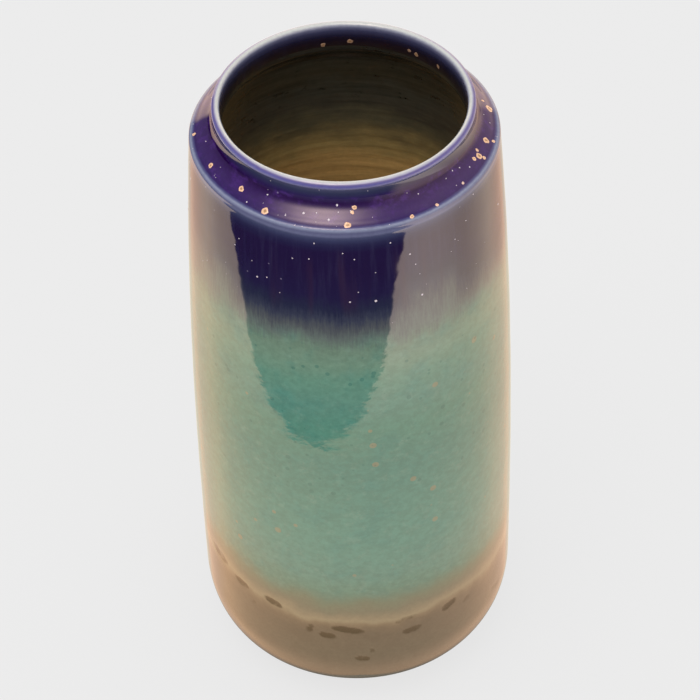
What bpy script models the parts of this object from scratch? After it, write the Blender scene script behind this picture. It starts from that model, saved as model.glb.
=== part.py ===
"""A wheel-thrown stoneware vase with its fired glaze coats, in metres, +Z up, standing on z = 0.

The vase is turned about the Z axis. One outline, the skin, is the glazed surface that can be
seen: it runs from the middle of the floor inside, up the inside wall, over the lip, and down
the neck, shoulder and wall to the foot. Each glaze coat is a stretch of the skin given a
thickness, and the clay body is what lies behind the coats, with a trimmed foot ring below.
"""

import math

import bmesh
import bpy

# Driving dimensions
HEIGHT = 0.284
LIP_RADIUS = 0.0504
LIP_THICKNESS = 0.0035
NECK_RECESS = 0.0009  # how far the neck stands back under the lip
NECK_DROP = 0.0082  # below the rim, where the neck and the shoulder would meet in a sharp corner
RIDGE_RADIUS = 0.0596  # where the shoulder and the wall would meet in a sharp corner
RIDGE_DROP = 0.0142
WALL_RADIUS = 0.0673  # widest, just above the foot curve
WALL_TAPER_POWER = 2.5  # the wall leans in late, near the top
FOOT_CURVE_TOP = 0.0357
FOOT_RADIUS = 0.0410
FOOT_CURVE_POWER = 2.34  # 2 is a quarter ellipse, more is squarer

NECK_FILLET = 0.005
RIDGE_ROUNDING = 0.003
INNER_SHOULDER_FILLET = 0.006
INNER_CORNER = 0.024

WALL_THICKNESS_BELOW = 0.0080
WALL_THICKNESS_ABOVE = 0.0062
FLOOR_TOP = 0.0135
COAT = 0.0005
SEAT_GAP = 0.0003

FOOT_RING_HEIGHT = 0.003
FOOT_RING_WIDTH = 0.0065
FOOT_CHAMFER = 0.0008
BASE_RECESS = 0.0038

# Glaze lines, as heights, and how far the cobalt glaze runs down inside the neck
COBALT_LINE = 0.2205
TURQUOISE_LINE = 0.070
GLAZE_STOP = 0.0075
COBALT_DROP_INSIDE = 0.0115

SEGMENTS = 48

# Colours are linear RGB
FINISHES = {
    "stoneware": ((0.42, 0.29, 0.19), 0.85),
    "cobalt_glaze": ((0.035, 0.018, 0.110), 0.12),
    "turquoise_glaze": ((0.150, 0.290, 0.220), 0.14),
    "tan_glaze": ((0.250, 0.180, 0.115), 0.18),
    "liner_glaze": ((0.110, 0.080, 0.030), 0.20),
}


def arc(centre, radius, start, end, steps):
    """Points on an arc from start to end degrees, measured from +r towards +z."""
    angles = [math.radians(start + (end - start) * i / steps) for i in range(steps + 1)]
    return [(centre[0] + radius * math.cos(a), centre[1] + radius * math.sin(a)) for a in angles]


def fillet(before, corner, after, radius, steps):
    """The arc that rounds a corner of an outline, tangent to both of its sides."""
    to_before = direction(corner, before)
    to_after = direction(corner, after)
    dot = to_before[0] * to_after[0] + to_before[1] * to_after[1]
    half = math.acos(max(-1.0, min(1.0, dot))) / 2
    bisector = direction((0, 0), (to_before[0] + to_after[0], to_before[1] + to_after[1]))
    reach = radius / math.sin(half)
    centre = (corner[0] + bisector[0] * reach, corner[1] + bisector[1] * reach)
    side = radius / math.tan(half)
    first = (corner[0] + to_before[0] * side, corner[1] + to_before[1] * side)
    last = (corner[0] + to_after[0] * side, corner[1] + to_after[1] * side)
    start = math.degrees(math.atan2(first[1] - centre[1], first[0] - centre[0]))
    end = math.degrees(math.atan2(last[1] - centre[1], last[0] - centre[0]))
    end = start + (end - start + 180) % 360 - 180  # the short way round
    return arc(centre, radius, start, end, steps)


def direction(start, end):
    length = math.hypot(end[0] - start[0], end[1] - start[1])
    return (end[0] - start[0]) / length, (end[1] - start[1]) / length


def wall_radius(z):
    """The glazed outside radius at a height on the wall, between the foot curve and the ridge."""
    rise = (z - FOOT_CURVE_TOP) / (HEIGHT - RIDGE_DROP - FOOT_CURVE_TOP)
    return WALL_RADIUS - (WALL_RADIUS - RIDGE_RADIUS) * max(0.0, rise) ** WALL_TAPER_POWER


def wall_thickness(z):
    return WALL_THICKNESS_BELOW + (WALL_THICKNESS_ABOVE - WALL_THICKNESS_BELOW) * z / HEIGHT


def outside_of_skin():
    """From the top of the lip down to the foot."""
    lip = LIP_THICKNESS / 2
    lip_centre = (LIP_RADIUS - lip, HEIGHT - lip)
    neck = LIP_RADIUS - NECK_RECESS
    under_lip = math.degrees(math.acos((neck - lip_centre[0]) / lip))
    points = arc(lip_centre, lip, 90, -under_lip, 4)
    shoulder_start = (neck, HEIGHT - NECK_DROP)
    ridge = (RIDGE_RADIUS, HEIGHT - RIDGE_DROP)
    points += fillet((neck, HEIGHT - LIP_THICKNESS), shoulder_start, ridge, NECK_FILLET, 3)
    wall_top = ridge[1] - 2 * RIDGE_ROUNDING
    points += fillet(shoulder_start, ridge, (wall_radius(wall_top), wall_top), RIDGE_ROUNDING, 3)
    wall = [0.88, 0.74, 0.54, 0.0]  # closer together where the wall bends more
    heights = [FOOT_CURVE_TOP + (wall_top - FOOT_CURVE_TOP) * share for share in wall]
    points += [(wall_radius(z), z) for z in heights]
    return points + foot_curve(6)


def foot_curve(steps):
    """A rounded corner from the wall down to the foot ring, without its first point."""
    wide = WALL_RADIUS - FOOT_RADIUS
    high = FOOT_CURVE_TOP - FOOT_RING_HEIGHT
    points = []
    for i in range(1, steps + 1):
        turn = math.pi / 2 * i / steps
        across = math.cos(turn) ** (2 / FOOT_CURVE_POWER) if i < steps else 0.0
        down = math.sin(turn) ** (2 / FOOT_CURVE_POWER)
        points.append((FOOT_RADIUS + wide * across, FOOT_CURVE_TOP - high * down))
    return points


def inside_of_skin():
    """From the middle of the floor up the inside to the lip, stopping before its top."""
    inner_neck = LIP_RADIUS - LIP_THICKNESS
    lip = LIP_THICKNESS / 2
    corner = (WALL_RADIUS - WALL_THICKNESS_BELOW, FLOOR_TOP)
    wall_start = (corner[0], FLOOR_TOP + INNER_CORNER + 0.02)
    points = [(0.0, FLOOR_TOP)]
    points += fillet(points[0], corner, wall_start, INNER_CORNER, 5)
    shoulder_z = HEIGHT - RIDGE_DROP - WALL_THICKNESS_ABOVE
    heights = [wall_start[1] + (shoulder_z - wall_start[1]) * share for share in (0.45, 0.75)]
    points += [(wall_radius(z) - wall_thickness(z), z) for z in heights]
    below = points[-1]
    shoulder = (wall_radius(shoulder_z) - WALL_THICKNESS_ABOVE, shoulder_z)
    neck_foot = (inner_neck, HEIGHT - COBALT_DROP_INSIDE - 0.0015)
    points += fillet(below, shoulder, neck_foot, INNER_SHOULDER_FILLET, 3)
    points += [neck_foot, (inner_neck, HEIGHT - COBALT_DROP_INSIDE)]
    points += arc((inner_neck + lip, HEIGHT - lip), lip, 180, 120, 2)
    return points


def offset(path, distance):
    """The path moved sideways into the clay, which lies on its right, by a distance."""
    moved = []
    for i, (r, z) in enumerate(path):
        sides = []
        if i > 0:
            sides.append(direction(path[i - 1], (r, z)))
        if i < len(path) - 1:
            sides.append(direction((r, z), path[i + 1]))
        normals = [(side[1], -side[0]) for side in sides]
        mean = direction((0, 0), (sum(n[0] for n in normals), sum(n[1] for n in normals)))
        mitre = distance / (mean[0] * normals[0][0] + mean[1] * normals[0][1])
        on_axis = r == 0.0
        moved.append((0.0 if on_axis else r + mean[0] * mitre, z + mean[1] * mitre))
    return moved


def cut(path, z, inside, side):
    """The part of the path on one side of a height: 'up' towards the lip, or 'away' from it."""
    top = max(range(len(path)), key=lambda i: path[i][1])
    for i in range(len(path) - 1):
        low, high = sorted((path[i][1], path[i + 1][1]))
        here = i < top if inside else i >= top
        if here and low <= z < high:
            share = (z - path[i][1]) / (path[i + 1][1] - path[i][1])
            crossing = (path[i][0] + (path[i + 1][0] - path[i][0]) * share, z)
            keep_start = (side == "away") == inside
            return path[: i + 1] + [crossing] if keep_start else [crossing] + path[i + 1 :]
    raise ValueError(f"the outline doesn't cross z = {z}")


def coat_between(skin, start, end):
    """The closed outline of a glaze coat. start and end are (height, inside) or None."""
    piece = skin
    if end is not None:
        piece = cut(piece, end[0], end[1], "away" if end[1] else "up")
    if start is not None:
        piece = cut(piece, start[0], start[1], "up" if start[1] else "away")
    return piece + offset(piece, COAT)[::-1]


def clay_outline(skin):
    """The clay behind the coats, its foot ring, and the recess under the base."""
    behind = offset(skin, COAT + SEAT_GAP)
    outer = FOOT_RADIUS
    inner = FOOT_RADIUS - FOOT_RING_WIDTH
    behind = [p for p in behind[:-1] if p[1] > FOOT_RING_HEIGHT or p[0] < inner]
    foot = [
        (outer, FOOT_RING_HEIGHT),
        (outer, FOOT_CHAMFER),
        (outer - FOOT_CHAMFER, 0.0),
        (inner + FOOT_CHAMFER, 0.0),
        (inner, FOOT_CHAMFER),
        (inner - FOOT_CHAMFER, BASE_RECESS),
        (0.0, BASE_RECESS),
    ]
    return behind + foot


def finish(name):
    colour, roughness = FINISHES[name]
    material = bpy.data.materials.new(name)
    material.use_nodes = True
    shader = material.node_tree.nodes["Principled BSDF"]
    shader.inputs["Base Color"].default_value = (*colour, 1.0)
    shader.inputs["Roughness"].default_value = roughness
    shader.inputs["Metallic"].default_value = 0.0
    return material


def turn(name, outline, material):
    """Spins an outline about the Z axis. One that starts and ends on the axis stays open there."""
    mesh = bmesh.new()
    corners = [mesh.verts.new((r, 0.0, z)) for r, z in outline]
    edges = [mesh.edges.new(pair) for pair in zip(corners, corners[1:])]
    on_axis = outline[0][0] == 0.0 and outline[-1][0] == 0.0
    if not on_axis:
        edges.append(mesh.edges.new((corners[-1], corners[0])))
    bmesh.ops.spin(
        mesh,
        geom=corners + edges,
        cent=(0, 0, 0),
        axis=(0, 0, 1),
        angle=2 * math.pi,
        steps=SEGMENTS,
        use_merge=True,
    )
    bmesh.ops.remove_doubles(mesh, verts=mesh.verts, dist=1e-6)
    bmesh.ops.recalc_face_normals(mesh, faces=mesh.faces)
    data = bpy.data.meshes.new(name)
    mesh.to_mesh(data)
    mesh.free()
    data.shade_smooth()
    data.set_sharp_from_angle(angle=math.radians(35))
    data.materials.append(material)
    part = bpy.data.objects.new(name, data)
    bpy.context.collection.objects.link(part)
    return part


def build():
    for old in list(bpy.data.objects):
        bpy.data.objects.remove(old)

    skin = inside_of_skin() + outside_of_skin()
    neck_line = HEIGHT - COBALT_DROP_INSIDE
    half_gap = SEAT_GAP / 2
    turn("stoneware_body", clay_outline(skin), finish("stoneware"))
    coats = {
        "liner_glaze": (None, (neck_line - half_gap, True)),
        "cobalt_glaze": ((neck_line + half_gap, True), (COBALT_LINE + half_gap, False)),
        "turquoise_glaze": ((COBALT_LINE - half_gap, False), (TURQUOISE_LINE + half_gap, False)),
        "tan_glaze": ((TURQUOISE_LINE - half_gap, False), (GLAZE_STOP, False)),
    }
    for name, (start, end) in coats.items():
        turn(name, coat_between(skin, start, end), finish(name))


build()
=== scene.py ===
"""Looks of a wheel-thrown stoneware vase: fine glazed surfaces, spatter, studio light, camera.

The vase is turned about the Z axis. Its skin, the glazed surface, is one outline in radius and
height. A place on the skin is named by its angle (0 faces the camera, positive to the right) and
by how far it lies along the outline from the crest of the lip, negative down the inside.

Lengths on the vase are in mm, and those of the stage around it are in metres.
"""

import math

import bmesh
import bpy
import numpy as np
from mathutils import Matrix, Vector


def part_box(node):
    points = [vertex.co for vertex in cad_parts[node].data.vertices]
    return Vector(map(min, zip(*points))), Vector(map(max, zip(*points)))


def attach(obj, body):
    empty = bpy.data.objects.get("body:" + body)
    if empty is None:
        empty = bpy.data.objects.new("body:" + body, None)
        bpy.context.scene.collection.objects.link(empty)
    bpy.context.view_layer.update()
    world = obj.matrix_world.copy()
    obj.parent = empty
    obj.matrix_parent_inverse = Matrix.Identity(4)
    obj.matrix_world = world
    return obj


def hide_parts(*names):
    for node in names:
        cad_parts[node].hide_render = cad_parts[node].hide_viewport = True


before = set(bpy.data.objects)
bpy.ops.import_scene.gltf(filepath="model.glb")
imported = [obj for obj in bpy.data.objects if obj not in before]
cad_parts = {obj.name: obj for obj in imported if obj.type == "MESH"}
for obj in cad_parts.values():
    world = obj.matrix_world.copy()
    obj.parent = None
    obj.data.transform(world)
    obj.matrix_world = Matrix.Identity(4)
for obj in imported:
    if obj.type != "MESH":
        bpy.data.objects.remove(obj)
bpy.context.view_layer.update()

MM = 0.001
SEED = 11
SEGMENTS = 384  # points in each ring round the vase

# The skin's outline. Heights named "drop" are below the rim.
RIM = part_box("cobalt_glaze")[1].z / MM
COBALT_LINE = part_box("turquoise_glaze")[1].z / MM
TURQUOISE_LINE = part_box("tan_glaze")[1].z / MM
GLAZE_STOP = 7.8
LIP_RADIUS = 50.4
LIP_THICKNESS = 3.5
NECK_RECESS = 0.9
NECK_DROP = 8.2
NECK_FILLET = 8.2
RIDGE_RADIUS = 59.6
RIDGE_DROP = 14.2
RIDGE_ROUNDING = 2.2
WALL_RADIUS = 67.3
WALL_TAPER_POWER = 2.5
FOOT_CURVE_TOP = 35.7
FOOT_CURVE_POWER = 2.34
FOOT_RADIUS = 41.0
FOOT_RING_HEIGHT = 3.0
FOOT_RING_WIDTH = 6.5
FOOT_RING_ROUNDING = 0.8
BASE_RECESS = 3.8
RECESS_ROUNDING = 1.2
INSIDE_COBALT = 11.5  # how far the cobalt glaze runs down inside the neck
INNER_NECK_FOOT = 1.5  # how much further down the inside of the neck ends
INNER_NECK_FILLET = 4.0
INNER_SHOULDER_HEIGHT = 12
INNER_SHOULDER_FILLET = 6.0
INNER_CORNER = 24.0
INNER_WALL_CLEAR = 8.0  # how far above the corner's curve the wall's last point is
WALL_THICKNESS_BELOW = 8.0
WALL_THICKNESS_ABOVE = 6.2
FLOOR_TOP = 13.5

# Coats and clay behind the skin
COAT = 0.45
CLAY_GAP = 0.1
BARE_CLAY_STEP_IN = 0.25

# The hand's unevenness
INSET = 0.15  # keeps the uneven surface inside the plain turned form
WAVES = 14
WAVE_LENGTHS = (9, 42)
WAVE_STEEPNESS = 0.15 / 1000
RING_SPACING = 6.4
FINE_RING_SPACING = 2.9
FINE_RING_SHARE = 0.35
RING_HEIGHT = 0.09
RINGS_BELOW = 14  # the throwing rings inside begin here and grow over RINGS_GROW
RINGS_GROW = 10
AXIS_FADE = 12  # the unevenness fades out within this radius, so the floor's middle stays closed
# A trough, a bead and a faint second bead round the ridge, as (distance along, height, width)
BEADS = [(17.6, -0.20, 1.6), (20.3, 0.12, 0.9), (23.0, 0.04, 0.8)]

# How the turquoise glaze's lower line rises on the left
LINE_RISE = 6.0
LINE_RISE_ANGLE = math.radians(-55)
LINE_RISE_SPREAD = math.radians(22)
LINE_WAVER = 0.5

# Places along the skin, and spacing of the mesh's rings there
LIP_REACH = 5
RIDGE_REACH = (15, 26)
WALL_START = 20
DEEP_INSIDE = -120
SHORTEST_STEP = 0.2
FINE_STEP = 0.3
PLAIN_STEP = 0.9
DEEP_STEP = 2.0
BACK_EVERY = 8  # the hidden back of a coat has one ring for this many on its face
CLAY_BACK_EVERY = 6
CLAY_INSIDE_STEP = 3.0
BARE_CLAY_STEP = 0.8
RECESS_STEP = 0.7

# Droplets of pale glaze as (angle in degrees, distance along the skin, width)
DROPLETS = [
    (101, 14.5, 1.6), (97, 16.5, 3.9), (76, 15.0, 3.0), (78, 18.0, 1.7), (66, 15.0, 3.0),
    (63, 14.0, 1.9), (68, 13.2, 1.6), (67, 17.0, 1.7), (50, 17.0, 1.4), (-66, 15.5, 2.4),
    (-46, 14.0, 2.8), (-32, 17.5, 3.0), (0, 18.0, 3.0), (3, 11.5, 2.1), (2, 13.2, 1.7),
    (24, 19.0, 2.0), (35, 18.5, 1.5), (-88, 18.0, 1.8), (176, -9.5, 2.6), (-171, -10.5, 2.2),
    (146, -9.0, 1.8), (142, -9.5, 2.2), (128, -9.5, 2.0),
]
SPECKS = [
    (88, 9.5, 0.7), (58, 14.5, 0.7), (54, 12.0, 0.62), (50, 11.0, 0.62), (-17, 14.5, 1.01),
    (-34, 11.5, 0.78), (8, 7.5, 0.78), (-22, 9.0, 0.78), (-12, 9.0, 0.86), (-4, 10.5, 1.01),
    (-7, 16.0, 1.09), (-42, 35.0, 0.62), (-12, 26.5, 0.7), (15, 28.0, 0.7), (-44, 39.0, 0.62),
    (-2, 30.5, 0.62), (22, 35.5, 0.86), (-20, 35.0, 0.62), (-14, 34.0, 0.7), (2, 33.5, 0.7),
    (-34, 49.0, 0.94), (-30, 47.5, 0.62), (3, 49.0, 0.55), (26, 56.5, 1.01), (9, 54.0, 1.17),
    (0, 53.5, 0.86), (24, 41.0, 0.62), (47, 33.0, 0.62), (41, 38.0, 0.55), (52, 24.0, 0.62),
]
# More of them at random, as (how many, range of angles, range along the skin, range of widths):
# on the back's shoulder and wall, which the lists don't cover, and fine ones on the front's
SCATTER = [
    (26, (108, 252), (6, 22), (0.8, 3.2)),
    (30, (70, 290), (24, 60), (0.6, 1.4)),
    (46, (-95, 95), (5, 20), (0.3, 0.7)),
    (22, (-90, 90), (22, 66), (0.25, 0.5)),
]
DROPLET_SIDES = 14
# Rings of a droplet from its rim inwards, as (share of its width, height above the skin)
DROPLET_RINGS = [(1.0, -0.06), (0.86, 0.03), (0.62, 0.07), (0.35, 0.08)]
DROPLET_TOP = 0.075
DROPLET_BOTTOM = -0.1

# Dark scorched marks round the foot as (angle, height, width, thickness, tilt in degrees, strength)
SCORCHES = [
    (-62, 64.0, 13, 4.6, -4, 0.75), (-48, 59.9, 8.5, 3.6, -4, 0.83), (-33, 59.6, 9, 3.8, -13, 0.88),
    (-18.5, 50.6, 3.2, 5.5, -20, 0.66), (-12, 47.6, 7, 3.8, -3, 1),
    (-4.5, 52.2, 13.5, 3.9, -9, 1), (19, 47.2, 8.5, 3.8, 6, 0.83), (17, 55, 11, 3.2, 7, 0.39),
    (34.5, 53.2, 7.5, 4, 22, 0.99), (43, 49.6, 5, 3.2, 24, 0.39), (0.5, 33.2, 6.5, 3.2, -6, 0.99),
    (4, 38, 2.4, 3, 0, 0.44), (-42, 52, 3, 3.5, 0, 0.33),
]
SCORCH_DEPTH = 0.12
SCORCH_REACH = 1.55  # how far a mark's soft edge reaches, in the measure of its own size


def srgb(red, green, blue):
    """A linear colour from 0 to 255 display values."""
    return tuple(
        v / 255 / 12.92 if v <= 10 else ((v / 255 + 0.055) / 1.055) ** 2.4
        for v in (red, green, blue)
    )


# ---------------------------------------------------------------- the skin's outline


def arc(centre, radius, start, end, steps):
    """Points on an arc from one angle to another, in degrees."""
    angles = np.radians(np.linspace(start, end, steps + 1))
    return [(centre[0] + radius * math.cos(a), centre[1] + radius * math.sin(a)) for a in angles]


def direction(start, end):
    """The unit vector from one point to another."""
    length = math.hypot(end[0] - start[0], end[1] - start[1])
    return (end[0] - start[0]) / length, (end[1] - start[1]) / length


def fillet(before, corner, after, radius, steps):
    """The arc that rounds a corner of an outline, tangent to both of its sides."""
    to_before = direction(corner, before)
    to_after = direction(corner, after)
    dot = to_before[0] * to_after[0] + to_before[1] * to_after[1]
    half = math.acos(dot) / 2
    bisector = direction((0, 0), (to_before[0] + to_after[0], to_before[1] + to_after[1]))
    reach = radius / math.sin(half)
    centre = (corner[0] + bisector[0] * reach, corner[1] + bisector[1] * reach)
    side = radius / math.tan(half)
    first = (corner[0] + to_before[0] * side, corner[1] + to_before[1] * side)
    last = (corner[0] + to_after[0] * side, corner[1] + to_after[1] * side)
    start = math.degrees(math.atan2(first[1] - centre[1], first[0] - centre[0]))
    end = math.degrees(math.atan2(last[1] - centre[1], last[0] - centre[0]))
    end = start + (end - start + 180) % 360 - 180
    return arc(centre, radius, start, end, steps)


def wall_radius(z):
    """The long wall's radius at a height. It leans in, and the more so the nearer the ridge."""
    rise = (z - FOOT_CURVE_TOP) / (RIM - RIDGE_DROP - FOOT_CURVE_TOP)
    return WALL_RADIUS - (WALL_RADIUS - RIDGE_RADIUS) * max(0.0, rise) ** WALL_TAPER_POWER


def inner_wall_radius(z):
    """The inside's radius at a height, where the wall is thinner the higher up it is."""
    thickness = WALL_THICKNESS_BELOW
    thickness += (WALL_THICKNESS_ABOVE - WALL_THICKNESS_BELOW) * z / RIM
    return wall_radius(z) - thickness


def outside_points():
    """From the crest of the lip down to the foot ring."""
    lip = LIP_THICKNESS / 2
    centre = (LIP_RADIUS - lip, RIM - lip)
    neck = LIP_RADIUS - NECK_RECESS
    under_lip = math.degrees(math.acos((neck - centre[0]) / lip))
    points = arc(centre, lip, 90, -under_lip, steps=24)
    shoulder_start = (neck, RIM - NECK_DROP)
    ridge = (RIDGE_RADIUS, RIM - RIDGE_DROP)
    points += fillet(points[-1], shoulder_start, ridge, NECK_FILLET, steps=16)
    wall_top = ridge[1] - 2 * RIDGE_ROUNDING
    wall = [(wall_radius(z), z) for z in np.linspace(wall_top, FOOT_CURVE_TOP, 300)]
    points += fillet(shoulder_start, ridge, wall[0], RIDGE_ROUNDING, steps=16)
    points += wall[1:]
    wide = WALL_RADIUS - FOOT_RADIUS
    high = FOOT_CURVE_TOP - FOOT_RING_HEIGHT
    for turn in np.linspace(0, math.pi / 2, 81)[1:-1]:
        across = math.cos(turn) ** (2 / FOOT_CURVE_POWER)
        down = math.sin(turn) ** (2 / FOOT_CURVE_POWER)
        points.append((FOOT_RADIUS + wide * across, FOOT_CURVE_TOP - high * down))
    return points + [(FOOT_RADIUS, FOOT_RING_HEIGHT)]


def inside_points():
    """From the crest of the lip down the inside to the middle of the floor."""
    lip = LIP_THICKNESS / 2
    neck = LIP_RADIUS - LIP_THICKNESS
    points = arc((neck + lip, RIM - lip), lip, 90, 180, steps=16)
    neck_foot = (neck, RIM - INSIDE_COBALT - INNER_NECK_FOOT)
    shoulder_z = RIM - RIDGE_DROP - WALL_THICKNESS_ABOVE
    shoulder = (wall_radius(shoulder_z) - WALL_THICKNESS_ABOVE, shoulder_z)
    wall_top = shoulder_z - INNER_SHOULDER_HEIGHT
    wall_foot = FLOOR_TOP + INNER_CORNER + INNER_WALL_CLEAR
    wall = [(inner_wall_radius(z), z) for z in np.linspace(wall_top, wall_foot, 150)]
    points += fillet(points[-1], neck_foot, shoulder, INNER_NECK_FILLET, steps=10)
    points += fillet(neck_foot, shoulder, wall[0], INNER_SHOULDER_FILLET, steps=12)
    corner = (WALL_RADIUS - WALL_THICKNESS_BELOW, FLOOR_TOP)
    middle = (0.0, FLOOR_TOP)
    return points + wall + fillet(wall[-1], corner, middle, INNER_CORNER, steps=40) + [middle]


class Skin:
    """The outline, and the uneven surface a hand leaves on it."""

    def __init__(self):
        inside = np.array(inside_points())
        outside = np.array(outside_points())
        inward = np.concatenate([[0], np.cumsum(np.hypot(*np.diff(inside, axis=0).T))])
        outward = np.concatenate([[0], np.cumsum(np.hypot(*np.diff(outside, axis=0).T))])
        self.along = np.concatenate([-inward[::-1], outward[1:]])
        self.points = np.concatenate([inside[::-1], outside[1:]])
        rng = np.random.default_rng(SEED)
        self.waves = [
            (1 / rng.uniform(*WAVE_LENGTHS), rng.integers(0, 5), rng.uniform(0, 2 * math.pi))
            for _ in range(WAVES)
        ]

    def at_height(self, z):
        """Distance along the outside at a height on the wall."""
        wall = self.along > WALL_START
        return float(np.interp(-z, -self.points[wall, 1], self.along[wall]))

    def outline(self, along):
        """(radius, height) of the plain outline."""
        return np.stack([np.interp(along, self.along, self.points[:, i]) for i in (0, 1)], -1)

    def normal(self, along):
        """Pointing out of the clay, in the (radius, height) plane."""
        step = 0.15
        ahead = self.outline(np.minimum(along + step, self.along[-1]))
        behind = self.outline(np.maximum(along - step, self.along[0]))
        tangent = ahead - behind
        tangent /= np.hypot(tangent[..., 0], tangent[..., 1])[..., None]
        return np.stack([-tangent[..., 1], tangent[..., 0]], -1)

    def throwing_rings(self, angle, along):
        """Slowly winding rings and finer ones between them, swinging about 0."""
        wide_turns = 2 * math.pi * along / RING_SPACING
        fine_turns = 2 * math.pi * along / FINE_RING_SPACING
        wander = 1.4 * np.sin(along / 11)
        swell = 0.6 + 0.4 * np.sin(along / 17 + 1.0)
        wide = swell * np.sin(wide_turns + angle + wander)
        fine = FINE_RING_SHARE * np.sin(fine_turns + 2 * angle + np.sin(along / 7))
        return (wide + fine) * np.clip((-along - RINGS_BELOW) / RINGS_GROW, 0, 1)

    def unevenness(self, angle, along):
        """How far the surface stands off the plain outline."""
        lift = np.zeros(np.broadcast(angle, along).shape)
        for frequency, lobes, phase in self.waves:
            turns = 2 * math.pi * frequency * along
            wave = np.sin(turns + lobes * angle + phase)
            lift = lift + WAVE_STEEPNESS / frequency * wave
        beads = sum(high * np.exp(-(((along - at) / wide) ** 2)) for at, high, wide in BEADS)
        return lift - INSET + RING_HEIGHT * self.throwing_rings(angle, along) + beads

    def surface(self, angle, along, lift=0.0):
        """Points in metres, at an angle in radians, lifted off the skin."""
        flat = self.outline(along)
        normal = self.normal(along)
        off = self.unevenness(angle, along) + lift
        fade = np.clip(flat[..., 0] / AXIS_FADE, 0, 1)
        radius = flat[..., 0] + normal[..., 0] * off * fade
        height = flat[..., 1] + normal[..., 1] * off * fade
        return MM * np.stack([radius * np.sin(angle), -radius * np.cos(angle), height], -1)


def row_step(along):
    """How far apart the mesh's rings are: close where the outline bends, wide deep inside."""
    if abs(along) < LIP_REACH or RIDGE_REACH[0] < along < RIDGE_REACH[1]:
        return FINE_STEP
    return DEEP_STEP if along < DEEP_INSIDE else PLAIN_STEP


def graded(start, end):
    """Distances along the skin, from one to another, for the rings of a mesh."""
    rows = [start]
    while rows[-1] < end:
        rows.append(rows[-1] + row_step(rows[-1]))
    rows[-1] = end
    if len(rows) > 2 and rows[-1] - rows[-2] < SHORTEST_STEP:
        rows.pop(-2)
    return np.array(rows)


def turn_from(angle, centre):
    """The signed turn in radians from one angle to another, the short way round."""
    return (angle - centre + math.pi) % (2 * math.pi) - math.pi


# ---------------------------------------------------------------- meshes


def make_object(name, vertices, faces, material):
    """A mesh object from points and faces, in the scene."""
    mesh = bpy.data.meshes.new(name)
    mesh.from_pydata(vertices, [], faces)
    mesh.materials.append(material)
    piece = bpy.data.objects.new(name, mesh)
    bpy.context.collection.objects.link(piece)
    return piece


def ring_faces(rings):
    """Quads round a closed loop of rings, each SEGMENTS long. The last ring joins the first."""
    faces = []
    for i in range(rings):
        low = i * SEGMENTS
        high = (i + 1) % rings * SEGMENTS
        for j in range(SEGMENTS):
            k = (j + 1) % SEGMENTS
            faces.append((low + j, low + k, high + k, high + j))
    return faces


def close_and_shade(piece):
    """Merges the points that meet on the axis, turns the faces outwards, shades smooth."""
    work = bmesh.new()
    work.from_mesh(piece.data)
    bmesh.ops.remove_doubles(work, verts=work.verts, dist=1e-7)
    bmesh.ops.recalc_face_normals(work, faces=work.faces)
    work.to_mesh(piece.data)
    work.free()
    piece.data.shade_smooth()
    piece.data.set_sharp_from_angle(angle=math.radians(50))


def set_attribute(piece, name, values):
    """Keeps one number per point, for the materials to read."""
    attribute = piece.data.attributes.new(name, "FLOAT", "POINT")
    attribute.data.foreach_set("value", np.asarray(values, np.float32))


def ring_angles():
    """The angles of the points in one ring."""
    return 2 * math.pi * np.arange(SEGMENTS) / SEGMENTS


def coat(name, skin, start, end, material, scorches=()):
    """A closed glaze coat: its face on the skin, and a plain back just behind it."""
    front = graded(start, end)
    back = front[::-1][::BACK_EVERY]
    back = np.unique(np.concatenate([back, [start, end]]))[::-1]
    angle = ring_angles()
    around, along = np.meshgrid(angle, front)
    pressed = scorch_depth(skin, around, along, scorches)
    faces_out = skin.surface(around, along, -SCORCH_DEPTH * pressed)
    faces_in = skin.surface(*np.meshgrid(angle, back), -COAT)
    vertices = np.concatenate([faces_out.reshape(-1, 3), faces_in.reshape(-1, 3)])
    piece = make_object(name, vertices.tolist(), ring_faces(len(front) + len(back)), material)
    hidden = np.zeros(len(back) * SEGMENTS)
    set_attribute(piece, "along", np.concatenate([along.ravel(), np.repeat(back, SEGMENTS)]))
    set_attribute(piece, "scorch", np.concatenate([pressed.ravel(), hidden]))
    rise = np.concatenate([line_rise(around).ravel(), np.tile(line_rise(angle), len(back))])
    set_attribute(piece, "rise", rise)
    close_and_shade(piece)
    return piece


def scorch_depth(skin, angle, along, scorches):
    """How deep in a scorched mark each point lies, from 0 outside to 1 in its middle."""
    depth = np.zeros(angle.shape)
    radius = skin.outline(along)[..., 0]
    for degrees, height, width, thickness, tilt, strength in scorches:
        across = turn_from(angle, math.radians(degrees)) * radius
        up = along - skin.at_height(height)
        lean = math.radians(tilt)
        x = (across * math.cos(lean) - up * math.sin(lean)) / (width / 2)
        y = (across * math.sin(lean) + up * math.cos(lean)) / (thickness / 2)
        edge = SCORCH_REACH - (np.abs(x) ** 3 + np.abs(y) ** 2)
        depth = np.maximum(depth, strength * np.clip(edge, 0, 1))
    return depth


def line_rise(angle):
    """How much higher the turquoise glaze's lower line runs at an angle in radians."""
    turn = turn_from(angle, LINE_RISE_ANGLE)
    waver = LINE_WAVER * np.sin(3 * angle + 1)
    return LINE_RISE * np.exp(-((turn / LINE_RISE_SPREAD) ** 2)) + waver


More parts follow.
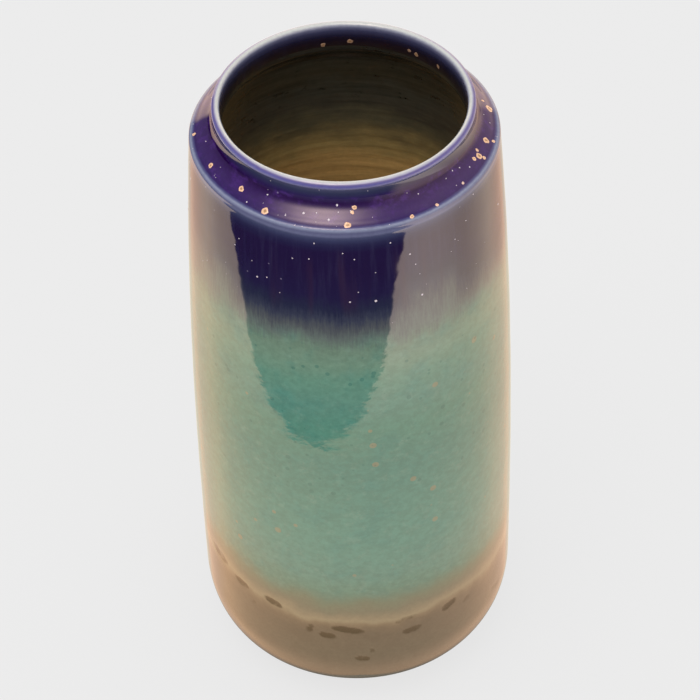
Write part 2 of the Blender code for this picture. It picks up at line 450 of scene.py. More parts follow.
def foot_section():
    """From the outer edge of the foot ring, under it, and over the recess to the axis."""
    outer = FOOT_RADIUS
    inner = FOOT_RADIUS - FOOT_RING_WIDTH
    edge = FOOT_RING_ROUNDING
    under = BASE_RECESS - RECESS_ROUNDING
    points = [(outer + 0.3, FOOT_RING_HEIGHT), (outer, FOOT_RING_HEIGHT - 0.5), (outer, edge + 0.1)]
    points += arc((outer - edge, edge), edge, 0, -90, steps=5)
    points += arc((inner + edge, edge), edge, -90, -180, steps=5)
    points += arc((inner - RECESS_ROUNDING, under), RECESS_ROUNDING, 0, 90, steps=5)
    for radius in np.arange(inner - 2, 0, -RECESS_STEP):
        turning_mark = 0.10 * math.sin(radius * 2.1)
        points.append((radius, BASE_RECESS + turning_mark))
    return points + [(0.0, BASE_RECESS)]


def clay_body(name, skin, material):
    """The clay behind the coats, bare from the glaze line down, with a trimmed foot ring."""
    hidden_end = skin.at_height(GLAZE_STOP) + 0.4
    bare_start = skin.at_height(GLAZE_STOP) + 0.5
    inside = np.arange(skin.along[0], 0.0, CLAY_INSIDE_STEP)
    outside = graded(0.0, hidden_end)[::CLAY_BACK_EVERY]
    around, along = np.meshgrid(ring_angles(), np.concatenate([inside, outside]))
    hidden = skin.surface(around, along, -COAT - CLAY_GAP)
    bare = np.arange(bare_start, skin.along[-1], BARE_CLAY_STEP)
    around, along = np.meshgrid(ring_angles(), bare)
    trimming_marks = 0.05 * np.sin(along * 3.1 + around)
    shown = skin.surface(around, along, trimming_marks - BARE_CLAY_STEP_IN)
    radius, height = np.array(foot_section()).T
    around, radius = np.meshgrid(ring_angles(), radius)
    height = height[:, None] + 0 * around
    foot = MM * np.stack([radius * np.sin(around), -radius * np.cos(around), height], -1)
    vertices = np.concatenate([part.reshape(-1, 3) for part in (hidden, shown, foot)])
    rings = len(vertices) // SEGMENTS
    piece = make_object(name, vertices.tolist(), ring_faces(rings), material)
    close_and_shade(piece)
    return piece


def droplet(vertices, faces, reach, skin, angle, along, width, squash, rng):
    """Adds one low closed lens of glaze, standing a little proud of the skin."""
    first = len(vertices)
    radius = skin.outline(along)[0]
    spin = rng.uniform(0, math.pi)
    side_angles = np.arange(DROPLET_SIDES) * 2 * math.pi / DROPLET_SIDES
    # The rim isn't quite round
    rim = 1 + 0.09 * np.sin(2 * np.arange(DROPLET_SIDES) + rng.uniform(0, 6))
    rim += 0.06 * np.sin(3 * side_angles + rng.uniform(0, 6))

    def place(x, y, lift, share):
        point = skin.surface(np.array(angle + x / radius), np.array(along + y), np.array(lift))
        vertices.append(tuple(point))
        reach.append(share)

    for share, lift in DROPLET_RINGS:
        for i, turn in enumerate(side_angles):
            x = width / 2 * share * rim[i] * math.cos(turn)
            y = width / 2 * share * rim[i] * math.sin(turn) * squash
            turned_x = x * math.cos(spin) - y * math.sin(spin)
            turned_y = x * math.sin(spin) + y * math.cos(spin)
            place(turned_x, turned_y, lift, share)
    place(0, 0, DROPLET_TOP, 0.0)
    place(0, 0, DROPLET_BOTTOM, 1.0)
    top, bottom = len(vertices) - 2, len(vertices) - 1
    last = first + (len(DROPLET_RINGS) - 1) * DROPLET_SIDES
    for low in range(first, last, DROPLET_SIDES):
        for i in range(DROPLET_SIDES):
            k = (i + 1) % DROPLET_SIDES
            high = low + DROPLET_SIDES
            faces.append((low + i, low + k, high + k, high + i))
    for i in range(DROPLET_SIDES):
        k = (i + 1) % DROPLET_SIDES
        faces.append((last + i, last + k, top))
        faces.append((first + k, first + i, bottom))


def spatter(name, skin, spots, material):
    """Many droplets as one piece. reach is each point's share of the way to its droplet's rim."""
    rng = np.random.default_rng(SEED)
    vertices, faces, reach, size = [], [], [], []
    for degrees, along, width in spots:
        before = len(vertices)
        squash = rng.uniform(0.8, 1.0)
        droplet(vertices, faces, reach, skin, math.radians(degrees), along, width, squash, rng)
        size += [width] * (len(vertices) - before)
    piece = make_object(name, vertices, faces, material)
    set_attribute(piece, "reach", reach)
    set_attribute(piece, "width", size)
    close_and_shade(piece)
    return piece


def scattered(count, angles, along, widths, seed):
    """Random spots as (angle in degrees, distance along the skin, width), most of them small."""
    rng = np.random.default_rng(seed)
    spots = []
    for _ in range(count):
        width = widths[0] + (widths[1] - widths[0]) * rng.random() ** 2
        spots.append((rng.uniform(*angles), rng.uniform(*along), width))
    return spots


def scorches_behind():
    """Random scorched marks on the back, in the form that SCORCHES has."""
    rng = np.random.default_rng(SEED)
    ranges = [(34, 58), (4, 12), (2.4, 3.2), (-20, 20), (0.35, 1.0)]
    return [(angle, *(rng.uniform(*limits) for limits in ranges)) for angle in range(62, 296, 17)]


# ---------------------------------------------------------------- materials


class Shader:
    """One material's node tree. Each method adds a node and returns its output socket."""

    def __init__(self, name, tree=None):
        if tree is None:
            self.material = bpy.data.materials.new(name)
            self.material.use_nodes = True
            tree = self.material.node_tree
        self.tree = tree
        self.principled = tree.nodes.get("Principled BSDF")

    def node(self, kind, inputs=(), output=0, **settings):
        """Any node, by its type's name without the ShaderNode in front."""
        made = self.tree.nodes.new("ShaderNode" + kind)
        for key, value in settings.items():
            setattr(made, key, value)
        for key, value in dict(inputs).items():
            self.feed(made.inputs[key], value)
        return made.outputs[output]

    def feed(self, socket, value):
        """Links a socket into an input, or sets the input to a plain value."""
        if isinstance(value, bpy.types.NodeSocket):
            self.tree.links.new(value, socket)
        elif isinstance(value, tuple) and socket.type == "RGBA":
            socket.default_value = (*value, 1.0)
        else:
            socket.default_value = value

    def position(self, x=1.0, y=1.0, z=1.0):
        """The place on the piece, in mm, stretched."""
        place = self.node("TexCoord", output="Object")
        return self.node(
            "VectorMath", {0: place, 1: (x / MM, y / MM, z / MM)}, operation="MULTIPLY"
        )

    def part(self, vector, axis):
        """A vector's X, Y or Z."""
        return self.node("SeparateXYZ", {0: vector}, output=axis)

    def level(self, vector):
        """The vector without its upward part."""
        return self.node("VectorMath", {0: vector, 1: (1.0, 1.0, 0.0)}, operation="MULTIPLY")

    def length(self, vector):
        """A vector's length."""
        return self.node("VectorMath", {0: vector}, output="Value", operation="LENGTH")

    def height(self):
        """The height on the piece, in mm."""
        return self.part(self.position(), "Z")

    def attribute(self, name):
        """A number that set_attribute kept."""
        return self.node("Attribute", output="Fac", attribute_name=name)

    def math(self, operation, a, b=0.0):
        """One Math node."""
        return self.node("Math", {0: a, 1: b}, operation=operation)

    def times(self, a, b):
        """The product of two numbers."""
        return self.math("MULTIPLY", a, b)

    def noise(self, vector, size, detail=2.0, roughness=0.5):
        """Noise from 0 to 1 whose features are about size mm across."""
        inputs = {"Vector": vector, "Scale": 1 / size, "Detail": detail, "Roughness": roughness}
        return self.node("TexNoise", inputs, output="Fac")

    def centred(self, value, amplitude):
        """A 0 to 1 noise moved to swing about 0."""
        return self.times(self.math("SUBTRACT", value, 0.5), amplitude)

    def between(self, value, low, high, to_low=0.0, to_high=1.0):
        """to_low below low and to_high above high, with a soft step between."""
        inputs = {"Value": value, 1: low, 2: high, 3: to_low, 4: to_high}
        return self.node("MapRange", inputs, interpolation_type="SMOOTHSTEP")

    def band(self, value, low, high, soft):
        """1 between low and high, fading to 0 over soft on each side."""
        rise = self.between(value, low - soft, low)
        fall = self.between(value, high, high + soft, 1.0, 0.0)
        return self.times(rise, fall)

    def ramp(self, value, stops):
        """A colour for a value, from (value, colour) stops."""
        low, high = stops[0][0], stops[-1][0]
        share = self.math("DIVIDE", self.math("SUBTRACT", value, low), high - low)
        made = self.tree.nodes.new("ShaderNodeValToRGB")
        self.tree.links.new(share, made.inputs[0])
        elements = made.color_ramp.elements
        while len(elements) < len(stops):
            elements.new(1.0)
        for element, (at, colour) in zip(elements, stops):
            element.position = (at - low) / (high - low)
            element.color = (*srgb(*colour), 1.0)
        return made.outputs[0]

    def mix(self, share, a, b):
        """Colour a where share is 0, and b where it is 1."""
        made = self.tree.nodes.new("ShaderNodeMix")
        made.data_type = "RGBA"
        self.feed(made.inputs["Factor"], share)
        self.feed(made.inputs[6], a)
        self.feed(made.inputs[7], b)
        return made.outputs[2]

    def tint(self, colour, share, most, other):
        """The colour moved towards another by a 0 to 1 share of the most it may move."""
        return self.mix(self.times(share, most), colour, other)

    def shade(self, colour, noise, strength):
        """The colour made darker and lighter by a 0 to 1 noise."""
        amount = self.math("ADD", 1.0, self.centred(noise, strength))
        return self.scaled(colour, amount)

    def scaled(self, vector, amount):
        """A vector or a colour times a number."""
        return self.node("VectorMath", {0: vector, "Scale": amount}, operation="SCALE")

    def dots(self, vector, spacing, radius, share):
        """Round dots about spacing mm apart. Only this share of the possible ones appear."""
        made = self.tree.nodes.new("ShaderNodeTexVoronoi")
        self.feed(made.inputs["Vector"], vector)
        made.inputs["Scale"].default_value = 1 / spacing
        chosen = self.node("SeparateColor", {0: made.outputs["Color"]}, output="Red")
        size = self.between(chosen, 1 - share, 1.0, 0.0, radius / spacing)
        inside = self.math("SUBTRACT", size, made.outputs["Distance"])
        soft_edge = 0.25 * radius / spacing
        return self.between(inside, 0.0, soft_edge)

    def bump(self, height, distance, under=None):
        """A normal for a 0 to 1 height, worth this distance in metres, on top of another's."""
        inputs = {"Height": height, "Distance": distance, "Strength": 1.0}
        if under is not None:
            inputs["Normal"] = under
        return self.node("Bump", inputs)

    def surface(self, **inputs):
        """Feeds the Principled node, and returns the finished material."""
        names = {"colour": "Base Color", "roughness": "Roughness", "normal": "Normal", "ior": "IOR"}
        for key, value in inputs.items():
            self.feed(self.principled.inputs[names[key]], value)
        return self.material


GLAZE_IOR = 1.5

# Colours down from the crest of the lip, by distance along the skin. The pale crest of the lip and
# the pale line on the ridge are partly the glaze thin over those edges and partly a painted
# highlight; down the inside of the neck they darken into painted shade.
TOP_COLOURS = [
    (-12.0, (30, 22, 20)), (-8.5, (20, 14, 30)), (-6.5, (26, 26, 52)), (-4.2, (58, 60, 92)),
    (-3.0, (98, 100, 130)), (-1.9, (142, 144, 162)), (-1.0, (188, 192, 192)),
    (-0.4, (193, 195, 193)), (0.3, (190, 191, 192)), (0.9, (166, 164, 184)), (1.6, (98, 90, 138)),
    (2.2, (86, 84, 144)), (2.8, (110, 108, 156)), (3.6, (124, 124, 160)), (4.2, (118, 118, 150)),
    (5.0, (70, 72, 100)), (6.5, (48, 51, 80)), (8.0, (42, 34, 76)), (10.0, (31, 4, 58)),
    (13.0, (47, 25, 81)), (16.0, (52, 32, 88)), (18.6, (44, 28, 84)), (19.4, (74, 76, 120)),
    (20.2, (130, 137, 162)), (21.6, (90, 92, 124)), (22.9, (98, 101, 132)), (23.8, (66, 70, 100)),
    (25.0, (53, 56, 88)), (26.6, (41, 40, 72)), (28.3, (34, 30, 64)), (31.0, (34, 26, 60)),
]
TOP_FADES = (28.5, 31.0)  # where along the skin these colours give way to the wall's
SHOULDER = (9.0, 17.0)
# Colours of the wall by height
WALL_COLOURS = [
    (24.0, (88, 84, 69)), (36.0, (89, 85, 69)), (48.0, (91, 84, 68)), (53.0, (102, 91, 72)),
    (55.6, (122, 108, 84)), (58.0, (144, 132, 104)), (60.5, (134, 123, 98)), (64.0, (115, 113, 92)),
    (69.0, (108, 118, 96)), (76.0, (94, 131, 113)), (86.0, (94, 137, 122)),
    (105.0, (91, 140, 125)), (125.0, (88, 137, 122)), (150.0, (83, 132, 118)),
    (170.0, (87, 135, 118)), (184.0, (94, 137, 122)), (195.0, (99, 139, 121)),
    (205.0, (111, 140, 121)), (213.0, (107, 130, 113)), (219.0, (94, 104, 101)),
    (223.0, (78, 82, 87)), (227.5, (55, 59, 77)), (232.0, (38, 41, 65)), (239.0, (33, 27, 62)),
    (250.0, (32, 22, 58)), (268.0, (32, 22, 58)),
]
# Colours inside by depth below the rim: the amber glaze, darkened near the mouth by painted shade
# and brightened deeper down by painted light
INSIDE_COLOURS = [
    (8.0, (36, 36, 32)), (14.0, (46, 44, 38)), (22.0, (54, 52, 42)), (30.0, (55, 51, 39)),
    (38.0, (60, 59, 50)), (46.0, (67, 64, 54)), (54.0, (90, 85, 65)), (61.0, (127, 112, 76)),
    (69.0, (164, 142, 92)), (77.0, (196, 160, 101)), (110.0, (204, 166, 106)),
    (200.0, (184, 146, 90)), (272.0, (150, 116, 70)),
]
# Colours mixed into those
VIOLET = srgb(76, 44, 124)
TEAL = srgb(66, 128, 120)
PALE_GREEN = srgb(122, 152, 136)
SLATE = srgb(66, 66, 96)
PLUM = srgb(58, 38, 58)
RUST = srgb(172, 134, 96)
DEEP_TEAL = srgb(44, 100, 92)
PALE_LILAC = srgb(150, 140, 166)
SCORCHED = srgb(34, 36, 14)
NEAR_BLACK = srgb(16, 15, 10)
# Zones on the wall by height. One that fades goes from none of its effect to all of it, and one
# that ends goes from all to none.
FOOT_GLAZE_ENDS = (50.0, 58.0)
FOOT_LINE_ENDS = (85.0, 105.0)
TURQUOISE = (78.0, 212.0)
RUST_DOTS = (90.0, 200.0)
DARK_DOTS = (140.0, 205.0)
HAMMERED = (150.0, 205.0)
RUNS = (214.0, 234.0)
COBALT_LINE_FADES = (212.0, 240.0)
PIN_DOTS_FADE = (222.0, 232.0)
COBALT_FADES = (226.0, 236.0)
UNDER_RIDGE = (248.0, 264.0)
WARM_STREAKS_FADE = (266.0, 250.0)


def lip_and_ridge(s, place, along):
    """The cobalt from the lip to below the ridge, pale where it is thin over an edge and where a
    highlight is painted on the lip and the ridge.
    """
    wavered_along = s.math("ADD", along, s.centred(s.noise(place, 3.0, 3.0), 0.35))
    # The pale band on the lip holds a painted highlight at the front, and is not as wide at the
    # vase's sides
    sideways = s.math("ABSOLUTE", s.part(place, "X"))
    no_highlight_at_sides = s.times(s.between(sideways, 15.0, 48.0), s.between(along, -1.0, 0.3))
    return s.ramp(s.math("ADD", wavered_along, s.times(no_highlight_at_sides, 0.8)), TOP_COLOURS)


def clouded(s, colour, along):
    """Violet clouds in the cobalt on the shoulder."""
    clouds = s.between(s.noise(s.position(z=1.6), 6.0, 4.0, 0.7), 0.48, 0.72)
    return s.tint(colour, s.times(clouds, s.band(along, *SHOULDER, 2.0)), 0.5, VIOLET)


def wall_level(s, place, height):
    """The height that a place on the wall takes its colour from, which moves the glaze lines."""
    # The cobalt ran down over the turquoise in fine streaks
    bristles = s.noise(s.position(z=0.10), 0.8, 3.0, 0.65)
    runs = s.noise(s.position(z=0.2), 9.0, 3.0, 0.6)
    slip = s.math("ADD", s.centred(bristles, 9.0), s.centred(runs, 9.0))
    run = s.times(slip, s.band(height, *RUNS, 8.0))
    drift = s.centred(s.noise(place, 18.0, 3.0), 5.0)
    moved = s.math("ADD", height, s.math("ADD", run, drift))

    # The turquoise's lower line rises on the left, and wobbles
    wobble = s.centred(s.noise(s.position(z=0.8), 12.0, 2.0), 8.0)
    rise = s.math("ADD", s.attribute("rise"), wobble)
    risen = s.times(rise, s.between(height, *FOOT_LINE_ENDS, 1.0, 0.0))
    moved = s.math("SUBTRACT", moved, risen)

    # The cobalt thins out higher up on the right of the front, and further round on the left
    side = s.part(place, "X")
    thin = s.math("MAXIMUM", s.band(side, 22.0, 38.0, 8.0), s.between(side, -36.0, -48.0))
    thinned = s.times(thin, s.between(height, *COBALT_LINE_FADES, 0.0, 11.0))
    return s.math("SUBTRACT", moved, thinned)


def mottled(s, colour, place, height):
    """The turquoise's clouds, wisps and blotches."""
    in_turquoise = s.band(height, *TURQUOISE, 12.0)
    clouds = s.between(s.noise(place, 13.0, 4.0, 0.6), 0.45, 0.72)
    colour = s.tint(colour, s.times(clouds, in_turquoise), 0.35, TEAL)
    wisps = s.between(s.noise(place, 5.0, 5.0, 0.72), 0.5, 0.72)
    colour = s.tint(colour, s.times(wisps, in_turquoise), 0.32, PALE_GREEN)
    blotches = s.between(s.noise(s.position(z=1.3), 3.4, 2.0, 0.6), 0.32, 0.68)
    return s.shade(colour, blotches, s.times(in_turquoise, 0.13))


def streaked(s, colour, height):
    """Streaks down the cobalt: fine slate ones under the ridge, and broad warm ones."""
    in_cobalt = s.between(height, *COBALT_FADES)
    threads = s.between(s.noise(s.position(z=0.02), 2.6, 3.0, 0.6), 0.45, 0.8)
    fine = s.times(s.times(threads, in_cobalt), s.band(height, *UNDER_RIDGE, 18.0))
    colour = s.tint(colour, fine, 0.22, SLATE)
    broad = s.between(s.noise(s.position(z=0.03), 6.0, 3.0), 0.5, 0.75)
    warm = s.times(broad, s.times(in_cobalt, s.between(height, *WARM_STREAKS_FADE)))
    return s.tint(colour, warm, 0.4, PLUM)


def dotted(s, colour, place, height):
    """Small rust and dark dots in the turquoise, and pin-point pale ones in the cobalt."""
    rust = s.times(s.dots(place, 8.0, 1.8, 0.5), s.band(height, *RUST_DOTS, 10.0))
    colour = s.tint(colour, rust, 0.38, RUST)
    elsewhere = s.node("VectorMath", {0: place, 1: (31.0, 7.0, 3.0)})
    dark = s.times(s.dots(elsewhere, 4.4, 1.2, 0.6), s.band(height, *DARK_DOTS, 15.0))
    colour = s.tint(colour, dark, 0.38, DEEP_TEAL)
    pins = s.times(s.dots(place, 4.2, 0.45, 0.25), s.between(height, *PIN_DOTS_FADE))
    return s.tint(colour, pins, 0.4, PALE_LILAC)


def foot_glazed(s, colour, place, height):
    """The brown foot glaze, and the ragged scorched marks in it."""
    earthy = s.shade(colour, s.noise(place, 6.0, 4.0, 0.6), 0.35)
    colour = s.mix(s.between(height, *FOOT_GLAZE_ENDS, 1.0, 0.0), colour, earthy)
    scorch = s.attribute("scorch")
    ragged = s.centred(s.noise(place, 2.6, 3.0, 0.6), 1.5)
    ragged = s.times(ragged, s.between(scorch, 0.0, 0.4))
    scorched = s.between(s.math("ADD", scorch, ragged), 0.05, 0.95)
    return s.tint(colour, scorched, 0.90, SCORCHED)


def orange_peel(s, place, height):
    """Slight unevenness, which breaks up the edges of reflections, and finer above mid-wall."""
    normal = s.bump(s.noise(place, 10.0, 1.0), 9e-5)
    hammered = s.times(s.noise(place, 3.0, 2.0), s.band(height, *HAMMERED, 20.0))
    return s.bump(hammered, 3.2e-5, normal)


def glaze(name):
    """The outside glazes. All three run from one set of colours, so they melt into each other."""
    s = Shader(name)
    place = s.position()
    height = s.height()
    along = s.attribute("along")
    wall = s.ramp(wall_level(s, place, height), WALL_COLOURS)
    colour = s.mix(s.between(along, *TOP_FADES), lip_and_ridge(s, place, along), wall)
    colour = clouded(s, colour, along)
    colour = mottled(s, colour, place, height)
    grain = s.noise(place, 1.5, 3.0, 0.65)
    colour = s.shade(colour, grain, 0.27)
    colour = streaked(s, colour, height)
    colour = dotted(s, colour, place, height)
    colour = foot_glazed(s, colour, place, height)
    rough = s.between(s.noise(place, 9.0), 0.3, 0.7, 0.03, 0.06)
    normal = orange_peel(s, place, height)
    return s.surface(colour=colour, roughness=rough, normal=normal, ior=GLAZE_IOR)


def liner(name):
    """The amber inside glaze, darker and greener near the mouth in painted shade, and brighter
    deeper down in painted light.
    """
    s = Shader(name)
    place = s.position()
    depth = s.math("SUBTRACT", RIM, s.height())
    depth = s.math("ADD", depth, s.centred(s.noise(s.position(z=2.0), 12.0, 3.0), 14.0))
    # These colours carry painted shade near the mouth and painted light deeper down
    colour = s.ramp(depth, INSIDE_COLOURS)
    stronger_above = s.between(depth, 34.0, 62.0, 1.25, 0.7)
    turned = s.noise(s.position(x=0.10, y=0.10, z=1.6), 3.2, 4.0, 0.65)
    colour = s.shade(colour, turned, s.times(stronger_above, 0.9))
    colour = s.shade(colour, s.noise(place, 3.0, 4.0, 0.7), 0.4)
    blotches = s.between(s.noise(s.position(z=1.8), 9.0, 4.0, 0.7), 0.58, 0.68)
    blotches = s.times(blotches, s.between(depth, 40.0, 52.0, 1.0, 0.0))
    colour = s.tint(colour, blotches, 0.6, NEAR_BLACK)
    normal = s.bump(s.noise(s.position(z=3.0), 8.0, 3.0), 1.5e-4)
    return s.surface(colour=colour, roughness=0.16, normal=normal, ior=GLAZE_IOR)


def bare_clay(name):
    """Unglazed fired stoneware: buff, sandy, with iron specks and a toasted edge."""
    s = Shader(name)
    place = s.position()
    colour = s.mix(s.noise(place, 9.0, 3.0), srgb(176, 140, 106), srgb(150, 112, 80))
    toasted = s.between(s.height(), 2.0, 8.0)
    colour = s.tint(colour, toasted, 0.5, srgb(128, 84, 56))
    colour = s.shade(colour, s.noise(place, 0.5, 3.0, 0.7), 0.6)
    iron = s.dots(place, 2.4, 0.5, 0.5)
    colour = s.tint(colour, iron, 0.8, srgb(60, 40, 30))
    normal = s.bump(s.noise(place, 0.6, 4.0, 0.7), 1.2e-4)
    return s.surface(colour=colour, roughness=0.85, normal=normal)


def droplet_glaze(name):
    """Peach droplets: lilac when tiny, darkened inside the neck by painted shade, olive-brown in a
    large one's middle.
    """
    s = Shader(name)
    reach = s.attribute("reach")
    width = s.attribute("width")
    place = s.position()
    wander = s.centred(s.noise(place, 0.8, 2.0), 0.5)
    core = s.between(s.math("ADD", reach, wander), 0.24, 0.58, 1.0, 0.0)
    core = s.times(core, s.between(width, 1.5, 2.4))
    colour = s.mix(s.noise(place, 0.7, 2.0), srgb(246, 200, 168), srgb(214, 172, 136))
    colour = s.mix(s.between(width, 1.1, 1.6), srgb(204, 194, 204), colour)
    # Painted shade: inside the neck the droplets are darkened to a dim brown
    radius = s.length(s.level(place))
    inside = s.between(radius, LIP_RADIUS - 3.0, LIP_RADIUS - 2.0, 1.0, 0.0)
    colour = s.tint(colour, inside, 0.65, srgb(70, 48, 36))
    colour = s.tint(colour, core, 0.72, srgb(124, 92, 48))
    return s.surface(colour=colour, roughness=0.12, ior=GLAZE_IOR)


# ---------------------------------------------------------------- stage, light, camera

# What the glossy glaze mirrors: a warm lit table that ends in a wide curve in front of the vase,
# dark beyond it, a pale wall low behind the vase and another to its right, and one soft lamp
# overhead. The camera and the soft light meet only a pale floor and an even sky.
# Limits on rays are parts of a unit direction: X to the right, Y away from the camera, Z up.
TABLE_CENTRE = (0.551, 1.102)
TABLE_RADIUS = 1.4715
TABLE_EDGE = 0.004
TABLE_BOW = 0.025  # how much further out the table reaches on both sides
TABLE_BOW_MIDDLE = 0.075
TABLE_BOW_REACH = (0.18, 0.28)
NEAR_LEFT_TABLE = (2.04, 1.24, 0.73)
NEAR_RIGHT_TABLE = (1.78, 1.14, 0.76)
SIDE_TABLE = (1.92, 1.50, 1.08)
FRONT_TABLE = (3.30, 2.65, 2.15)
BEHIND_TABLE = (1.44, 0.95, 0.67)
FARTHEST_TABLE = (0.98, 0.84, 0.68)
LEFT_TO_RIGHT = (-0.12, 0.12)
FRONT_TO_SIDE = (-0.30, 0.0)
NEAR_TO_FAR = (0.24, 0.37)
SIDE_TO_BEHIND = (0.42, 0.83)  # these two on rays, the three above on places
BEHIND_TO_FARTHEST = (0.86, 0.96)
FOOT_SHADE = 0.10
FOOT_SHADE_REACH = (0.05, 0.078)

BACK_WALL_LIGHT = (2.3, 1.65, 1.2)
BACK_WALL_SIDE = (0.81, 0.85)
BACK_WALL_TOP = (0.38, 0.55)
RIGHT_WALL_LIGHT = (1.9, 1.3, 0.95)
RIGHT_WALL_SIDE = (0.50, 0.70)
RIGHT_WALL_TOP = (0.0, 0.34)
ROOM_LIGHT = (0.20, 0.17, 0.18)
RIGHT_ROOM_LIGHT = (0.95, 0.68, 0.50)
ROOM_TURN = (0.15, 0.60)  # from the dim room to its brighter right
LAMP_DIRECTION = (-0.177, -0.286, 0.942)
LAMP_LIGHT = (8.7, 6.6, 5.7)
LAMP_SPREAD = 0.038

SKY_COLOUR = (1.0, 0.985, 0.97)
SKY_LIGHT = 0.98
FLOOR_COLOUR = (0.748, 0.755, 0.777)
FLOOR_LIGHT = (0.838, 0.838, 0.838)
FLOOR_GLOW = 0.88  # share of the floor's look to the camera that is even light, not shadowed
FLOOR_HALF = 12.0
FLOOR_DROP = 0.05 * MM  # keeps the floor out of the plane that the foot stands in

SOFTBOX_SIZE = 0.9
SOFTBOX_DISTANCE = 1.6
SOFTBOX_POWER = 6.0
SOFTBOX_COLOUR = (1.0, 0.95, 0.90)
SPOT_DIRECTION = (-0.10, -0.64, 0.76)
SPOT_DISTANCE = 1.3
SPOT_POWER = 9.0
SPOT_COLOUR = (1.0, 0.95, 0.88)
SPOT_WIDTH = math.radians(4.5)
SPOT_BLEND = 0.2
SPOT_SIZE = 0.04

CAMERA_ELEVATION = math.radians(43.9)
CAMERA_ROLL = math.radians(-1.83)
CAMERA_DISTANCE = 1.032
CAMERA_AIM = 0.155  # height of the point it looks at, on the vase's axis
CAMERA_LENS = 128.4
CAMERA_SENSOR = 36.0
CAMERA_SHIFT = (-0.0019, -0.0074)


def walls(s, ray, beyond):
    """What a ray meets low behind the vase and to its right, and beyond them a given colour."""
    across, backwards, upwards = (s.part(ray, axis) for axis in ("X", "Y", "Z"))
    right = s.times(
        s.between(across, *RIGHT_WALL_SIDE), s.between(upwards, *RIGHT_WALL_TOP, 1.0, 0.0)
    )
    behind = s.times(
        s.between(backwards, *BACK_WALL_SIDE), s.between(upwards, *BACK_WALL_TOP, 1.0, 0.0)
    )
    seen = s.mix(right, beyond, RIGHT_WALL_LIGHT)
    return s.mix(behind, seen, BACK_WALL_LIGHT)


def lit_table(s, place, ray):
    """The table's light at a place, warmer and dimmer near the vase, and dark under its foot."""
    from_vase = s.length(s.level(place))
    far = s.mix(s.between(s.part(place, "Y"), *FRONT_TO_SIDE), FRONT_TABLE, SIDE_TABLE)
    near = s.mix(s.between(s.part(place, "X"), *LEFT_TO_RIGHT), NEAR_LEFT_TABLE, NEAR_RIGHT_TABLE)
    light = s.mix(s.between(from_vase, *NEAR_TO_FAR), near, far)
    level_ray = s.node("VectorMath", {0: s.level(ray)}, operation="NORMALIZE")
    backwards = s.part(level_ray, "Y")
    light = s.mix(s.between(backwards, *SIDE_TO_BEHIND), light, BEHIND_TABLE)
    light = s.mix(s.between(backwards, *BEHIND_TO_FARTHEST), light, FARTHEST_TABLE)
    return s.scaled(light, s.between(from_vase, *FOOT_SHADE_REACH, FOOT_SHADE, 1.0))


def on_table(s, place):
    """1 on the table and 0 beyond its curved edge, which bows out a little on both sides."""
    centre = (*TABLE_CENTRE, 0.0)
    offset = s.node("VectorMath", {0: s.level(place), 1: centre}, operation="SUBTRACT")
    sideways = s.math("ABSOLUTE", s.math("ADD", s.part(place, "X"), TABLE_BOW_MIDDLE))
    bow = s.between(sideways, *TABLE_BOW_REACH, 0.0, TABLE_BOW)
    beyond = s.math("SUBTRACT", s.math("SUBTRACT", s.length(offset), bow), TABLE_RADIUS)
    return s.between(beyond, -TABLE_EDGE, TABLE_EDGE, 1.0, 0.0)


def floor_material():
    """A plain pale floor. Only the glaze sees the lit table in it."""
    s = Shader("pale_floor")
    s.tree.nodes.remove(s.principled)
    place = s.node("TexCoord", output="Object")
    ray = s.scaled(s.node("NewGeometry", output="Incoming"), -1.0)
    dark = (0.0, 0.0, 0.0)
    mirrored = s.mix(on_table(s, place), walls(s, ray, dark), lit_table(s, place, ray))
    mirrored = s.node("Emission", {"Color": mirrored})
    plain = s.node("BsdfDiffuse", {"Color": FLOOR_COLOUR})
    glow = s.node("Emission", {"Color": FLOOR_LIGHT})
    seen = s.times(s.node("LightPath", output="Is Camera Ray"), FLOOR_GLOW)
    plain = s.node("MixShader", {0: seen, 1: plain, 2: glow})
    glossy = s.node("LightPath", output="Is Glossy Ray")
    both = s.node("MixShader", {0: glossy, 1: plain, 2: mirrored})
    s.tree.links.new(both, s.tree.nodes["Material Output"].inputs["Surface"])
    return s.material


def add_floor():
    """A wide level floor, which isn't a part of the vase."""
    half, low = FLOOR_HALF, -FLOOR_DROP
    corners = [(-half, -half, low), (half, -half, low), (half, half, low), (-half, half, low)]
    floor = make_object("floor", corners, [(0, 1, 2, 3)], floor_material())


def add_sky():
    """An even sky. Only the glaze sees the room, the walls and the lamp in it."""
    world = bpy.data.worlds.new("studio")
    world.use_nodes = True
    bpy.context.scene.world = world
    s = Shader("studio", world.node_tree)
    ray = s.node("TexCoord", output="Generated")
    toward_lamp = s.node(
        "VectorMath", {0: ray, 1: LAMP_DIRECTION}, output="Value", operation="DOT_PRODUCT"
    )
    fall = s.math("DIVIDE", s.math("SUBTRACT", toward_lamp, 1.0), LAMP_SPREAD)
    room = s.mix(s.between(s.part(ray, "X"), *ROOM_TURN), ROOM_LIGHT, RIGHT_ROOM_LIGHT)
    mirrored = walls(s, ray, s.mix(s.math("EXPONENT", fall), room, LAMP_LIGHT))
    soft = s.node("Background", {"Color": SKY_COLOUR, "Strength": SKY_LIGHT})
    sharp = s.node("Background", {"Color": mirrored, "Strength": 1.0})
    glossy = s.node("LightPath", output="Is Glossy Ray")
    both = s.node("MixShader", {0: glossy, 1: soft, 2: sharp})
    s.tree.links.new(both, s.tree.nodes["World Output"].inputs["Surface"])


def add_light(data, colour, power, toward, place):
    """A light that shines back from a direction, and that no glossy surface mirrors."""
    data.color = colour
    data.energy = power
    light = bpy.data.objects.new(data.name, data)
    bpy.context.collection.objects.link(light)
    light.location = place
    light.rotation_euler = toward.to_track_quat("Z", "Y").to_euler()
    light.visible_glossy = False


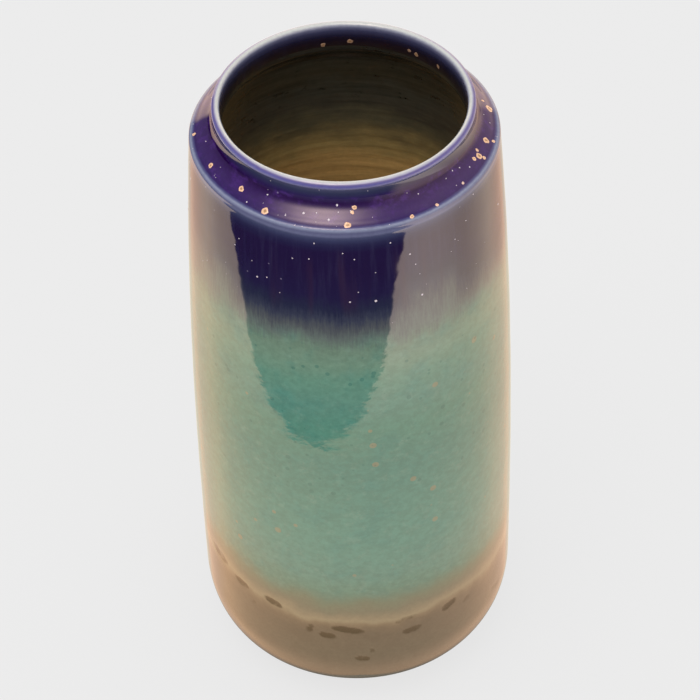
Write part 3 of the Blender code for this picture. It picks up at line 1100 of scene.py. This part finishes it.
def add_softbox():
    """A large soft lamp overhead. The sky shader draws its mirror image."""
    data = bpy.data.lights.new("softbox", "AREA")
    data.shape = "DISK"
    data.size = SOFTBOX_SIZE
    toward = Vector(LAMP_DIRECTION)
    add_light(data, SOFTBOX_COLOUR, SOFTBOX_POWER, toward, toward * SOFTBOX_DISTANCE)


def add_mouth_spot():
    """A narrow light down into the mouth, which brightens the far wall inside."""
    data = bpy.data.lights.new("mouth_spot", "SPOT")
    data.spot_size = SPOT_WIDTH
    data.spot_blend = SPOT_BLEND
    data.shadow_soft_size = SPOT_SIZE
    toward = Vector(SPOT_DIRECTION).normalized()
    place = Vector((0, 0, RIM * MM)) + toward * SPOT_DISTANCE
    add_light(data, SPOT_COLOUR, SPOT_POWER, toward, place)


def add_camera():
    """The photo's view: from the front, steeply down, turned slightly about the line of sight."""
    data = bpy.data.cameras.new("camera")
    data.lens = CAMERA_LENS
    data.sensor_width = CAMERA_SENSOR
    data.clip_start = 0.01
    data.shift_x, data.shift_y = CAMERA_SHIFT
    camera = bpy.data.objects.new("camera", data)
    bpy.context.collection.objects.link(camera)
    back = Vector((0, -math.cos(CAMERA_ELEVATION), math.sin(CAMERA_ELEVATION)))
    place = Matrix.Translation(Vector((0, 0, CAMERA_AIM)) + back * CAMERA_DISTANCE)
    turn = back.to_track_quat("Z", "Y").to_matrix().to_4x4()
    camera.matrix_world = place @ turn @ Matrix.Rotation(CAMERA_ROLL, 4, "Z")
    bpy.context.scene.camera = camera
    bpy.context.scene.view_settings.view_transform = "Standard"


# ---------------------------------------------------------------- the vase


def build_vase(skin):
    """The clay and its four coats, each standing for a CAD node."""
    cobalt_end = skin.at_height(COBALT_LINE)
    turquoise_end = skin.at_height(TURQUOISE_LINE)
    tan_end = skin.at_height(GLAZE_STOP)
    scorches = SCORCHES + scorches_behind()
    pieces = {
        "cobalt_glaze": coat("cobalt_coat", skin, -INSIDE_COBALT, cobalt_end, glaze("cobalt")),
        "turquoise_glaze": coat(
            "turquoise_coat", skin, cobalt_end, turquoise_end, glaze("turquoise")
        ),
        "tan_glaze": coat("tan_coat", skin, turquoise_end, tan_end, glaze("tan"), scorches),
        "liner_glaze": coat("liner_coat", skin, skin.along[0], -INSIDE_COBALT, liner("liner")),
        "stoneware_body": clay_body("clay_body", skin, bare_clay("clay")),
    }
    for node, piece in pieces.items():
        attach(piece, "root")
        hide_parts(node)


def add_droplets(skin):
    """The spatter of pale glaze, which no CAD node stands for."""
    spots = DROPLETS + SPECKS
    for more, (count, angles, along, widths) in enumerate(SCATTER):
        spots = spots + scattered(count, angles, along, widths, SEED + more)
    droplets = spatter("glaze_droplets", skin, spots, droplet_glaze("peach_droplets"))
    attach(droplets, "root")


vase_skin = Skin()
build_vase(vase_skin)
add_droplets(vase_skin)
add_floor()
add_sky()
add_softbox()
add_mouth_spot()
add_camera()
